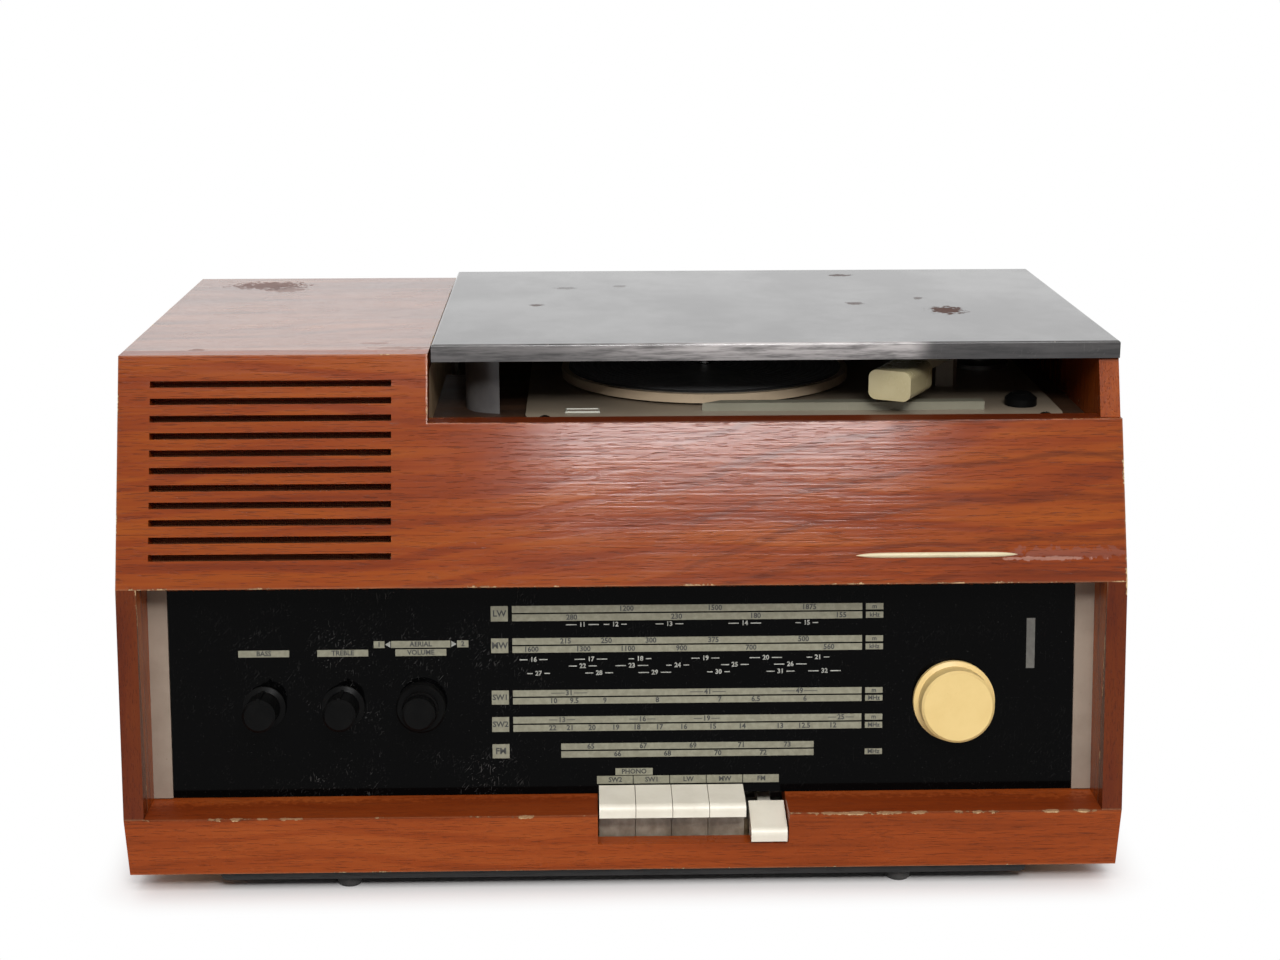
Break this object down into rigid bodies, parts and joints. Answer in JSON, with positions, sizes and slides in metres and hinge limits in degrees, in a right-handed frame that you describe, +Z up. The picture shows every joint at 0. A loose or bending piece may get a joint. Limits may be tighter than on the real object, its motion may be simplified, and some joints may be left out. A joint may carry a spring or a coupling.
{
  "type": "radiogram",
  "caption": "Table radiogram in a leaning veneered cabinet: slotted loudspeaker panel, black tuning dial with knobs and push keys, and a record deck under a hinged lid.",
  "frame": {"origin": "on the table under the middle of the cabinet's outer box", "axes": "+X to the right seen from the front, -Y towards the front, +Z up"},
  "size_m": [0.6, 0.355, 0.3285],
  "materials": {
    "veneer": "glossy orange-brown veneer",
    "black_lacquer": "black semi-gloss lacquer, worn",
    "plain_board": "unfinished board",
    "dark_board": "dark stained board",
    "fibre_board": "brown fibreboard",
    "foot_rubber": "matt rubber",
    "cloth": "dark woven cloth",
    "cone_paper": "felted paper",
    "plated_steel": "dull plated steel",
    "alloy": "plain aluminium",
    "bulb_glass": "clear glass",
    "dial_black": "gloss black glass, printed behind",
    "grey_strip": "grey satin plastic",
    "pointer_red": "red lacquer",
    "cream_plastic": "aged cream plastic",
    "black_plastic": "black moulded plastic",
    "key_ivory": "off-white moulded plastic, dirty",
    "deck_paint": "dark enamel",
    "bar_enamel": "pale enamel",
    "mat_rubber": "ribbed rubber",
    "bright_steel": "polished steel",
    "motor_grey": "grey paint",
    "ferrite": "sintered dark grey",
    "hinge_brass": "dull brass"
  },
  "bodies": {
    "cabinet": {"left_side": "veneer", "right_side": "veneer", "top_board": "veneer", "front_panel": "veneer", "front_rail": "veneer", "bottom_board": "plain_board", "rail_ledge": "plain_board", "inner_rails": "plain_board", "partition": "plain_board", "speaker_baffle": "plain_board", "base_plate": "plain_board", "motor_board": "dark_board", "rear_cover": "fibre_board", "rubber_feet": "foot_rubber", "grille_cloth": "cloth", "speaker_cone": "cone_paper", "speaker_basket": "plated_steel", "chassis": "plated_steel", "key_frame": "plated_steel", "dial_backplate": "plated_steel", "transformers": "plated_steel", "stay_stud": "plated_steel", "tuning_capacitor": "alloy", "coil_cans": "alloy", "control_pots": "alloy", "valves_and_lamps": "bulb_glass", "dial_glass": "dial_black", "dial_side_strips": "grey_strip", "socket_panel": "black_plastic", "deck_plate": "deck_paint", "arm_base": "deck_paint", "arm_rest": "deck_paint", "deck_trim_bar": "bar_enamel", "turntable_motor": "motor_grey", "hinge_leaves": "hinge_brass"},
    "lid_body": {"lid": "black_lacquer", "lid_fittings": "hinge_brass"},
    "stay": {"lid_stay": "plated_steel"},
    "turntable": {"platter": "bar_enamel", "platter_mat": "mat_rubber", "spindle": "bright_steel"},
    "idler": {"idler_wheel": "mat_rubber"},
    "motor_rotor": {"motor_pulley": "bright_steel"},
    "arm_turning": {"arm_carriage": "deck_paint"},
    "arm": {"tonearm": "cream_plastic", "pickup_head": "cream_plastic"},
    "selector": {"speed_selector": "black_plastic"},
    "tuner": {"tuning_knob": "cream_plastic"},
    "pointer": {"dial_pointer": "pointer_red"},
    "vanes": {"capacitor_rotor": "alloy"},
    "bass": {"bass_knob": "black_plastic"},
    "treble": {"treble_knob": "black_plastic"},
    "volume": {"volume_knob": "black_plastic"},
    "aerial_ring": {"antenna_ring": "black_plastic"},
    "aerial": {"ferrite_rod": "ferrite"},
    "key_a": {"key_1": "key_ivory"},
    "key_b": {"key_2": "key_ivory"},
    "key_c": {"key_3": "key_ivory"},
    "key_d": {"key_4": "key_ivory"},
    "key_e": {"key_5": "key_ivory"}
  },
  "joints": [
    {"name": "lid_hinge", "type": "hinge", "parent": "cabinet", "child": "lid_body", "pos_m": [0.09, 0.1743, 0.31665], "axis": [-1, 0, 0], "range_deg": [0, 75]},
    {"name": "stay_turn", "type": "hinge", "parent": "lid_body", "child": "stay", "pos_m": [-0.1103, 0.06, 0.3105], "axis": [-1, 0, 0], "range_deg": [-37.5, 0]},
    {"name": "platter_spin", "type": "hinge", "parent": "cabinet", "child": "turntable", "pos_m": [0.057, 0.028, 0.285], "axis": [0, 0, 1], "continuous": true},
    {"name": "idler_spin", "type": "hinge", "parent": "cabinet", "child": "idler", "pos_m": [0.12259, 0.00413, 0.282], "axis": [0, 0, 1], "continuous": true},
    {"name": "motor_spin", "type": "hinge", "parent": "cabinet", "child": "motor_rotor", "pos_m": [0.09938, 0.01257, 0.28], "axis": [0, 0, 1], "continuous": true},
    {"name": "tonearm_swing", "type": "hinge", "parent": "cabinet", "child": "arm_turning", "pos_m": [0.246, 0.058, 0.295], "axis": [0, 0, -1], "range_deg": [0, 38]},
    {"name": "tonearm_lift", "type": "hinge", "parent": "arm_turning", "child": "arm", "pos_m": [0.246, 0.058, 0.3017], "axis": [-0.887, 0.4617, 0], "range_deg": [0, 2.5]},
    {"name": "selector_turn", "type": "hinge", "parent": "cabinet", "child": "selector", "pos_m": [0.25, -0.07, 0.284], "axis": [0, 0, 1], "range_deg": [-60, 60]},
    {"name": "tuning_turn", "type": "hinge", "parent": "cabinet", "child": "tuner", "pos_m": [0.2023, -0.13755, 0.10958], "axis": [0, -0.9925, 0.1219], "range_deg": [-900, 900]},
    {"name": "pointer_slide", "type": "slide", "parent": "cabinet", "child": "pointer", "axis": [1, 0, 0], "range_m": [-0.1, 0.1]},
    {"name": "vane_turn", "type": "hinge", "parent": "cabinet", "child": "vanes", "pos_m": [0.23, -0.03, 0.1], "axis": [0, -1, 0], "range_deg": [-90, 90]},
    {"name": "bass_turn", "type": "hinge", "parent": "cabinet", "child": "bass", "pos_m": [-0.219, -0.13755, 0.10958], "axis": [0, -0.9925, 0.1219], "range_deg": [-150, 150]},
    {"name": "treble_turn", "type": "hinge", "parent": "cabinet", "child": "treble", "pos_m": [-0.171, -0.13755, 0.10958], "axis": [0, -0.9925, 0.1219], "range_deg": [-150, 150]},
    {"name": "volume_turn", "type": "hinge", "parent": "cabinet", "child": "volume", "pos_m": [-0.1235, -0.13755, 0.10958], "axis": [0, -0.9925, 0.1219], "range_deg": [-150, 150]},
    {"name": "aerial_ring_turn", "type": "hinge", "parent": "cabinet", "child": "aerial_ring", "pos_m": [-0.1235, -0.13755, 0.10958], "axis": [0, -0.9925, 0.1219], "range_deg": [-90, 90]},
    {"name": "aerial_turn", "type": "hinge", "parent": "cabinet", "child": "aerial", "pos_m": [-0.005, 0.03, 0.144], "axis": [0, 0, 1], "range_deg": [-45, 45]},
    {"name": "key_1_press", "type": "hinge", "parent": "cabinet", "child": "key_a", "pos_m": [-0.0047, -0.098, 0.045], "axis": [1, 0, 0], "range_deg": [0, 12], "stiffness_Nm_per_rad": 0.6, "springref_deg": -5.73},
    {"name": "key_2_press", "type": "hinge", "parent": "cabinet", "child": "key_b", "pos_m": [0.0175, -0.098, 0.045], "axis": [1, 0, 0], "range_deg": [0, 12], "stiffness_Nm_per_rad": 0.6, "springref_deg": -5.73},
    {"name": "key_3_press", "type": "hinge", "parent": "cabinet", "child": "key_c", "pos_m": [0.0397, -0.098, 0.045], "axis": [1, 0, 0], "range_deg": [0, 12], "stiffness_Nm_per_rad": 0.6, "springref_deg": -5.73},
    {"name": "key_4_press", "type": "hinge", "parent": "cabinet", "child": "key_d", "pos_m": [0.0619, -0.098, 0.045], "axis": [1, 0, 0], "range_deg": [0, 12], "stiffness_Nm_per_rad": 0.6, "springref_deg": -5.73},
    {"name": "key_5_press", "type": "hinge", "parent": "cabinet", "child": "key_e", "pos_m": [0.0871, -0.098, 0.045], "axis": [1, 0, 0], "range_deg": [-12, 0]}
  ],
  "couplings": [
    {"joint": "stay_turn", "follows": "lid_hinge", "ratio": -0.5},
    {"joint": "idler_spin", "follows": "platter_spin", "ratio": 4.4363},
    {"joint": "motor_spin", "follows": "platter_spin", "ratio": -22.625},
    {"joint": "pointer_slide", "follows": "tuning_turn", "m_per_rad": 0.0063661},
    {"joint": "vane_turn", "follows": "tuning_turn", "ratio": 0.1},
    {"joint": "aerial_turn", "follows": "aerial_ring_turn", "ratio": 0.5}
  ]
}
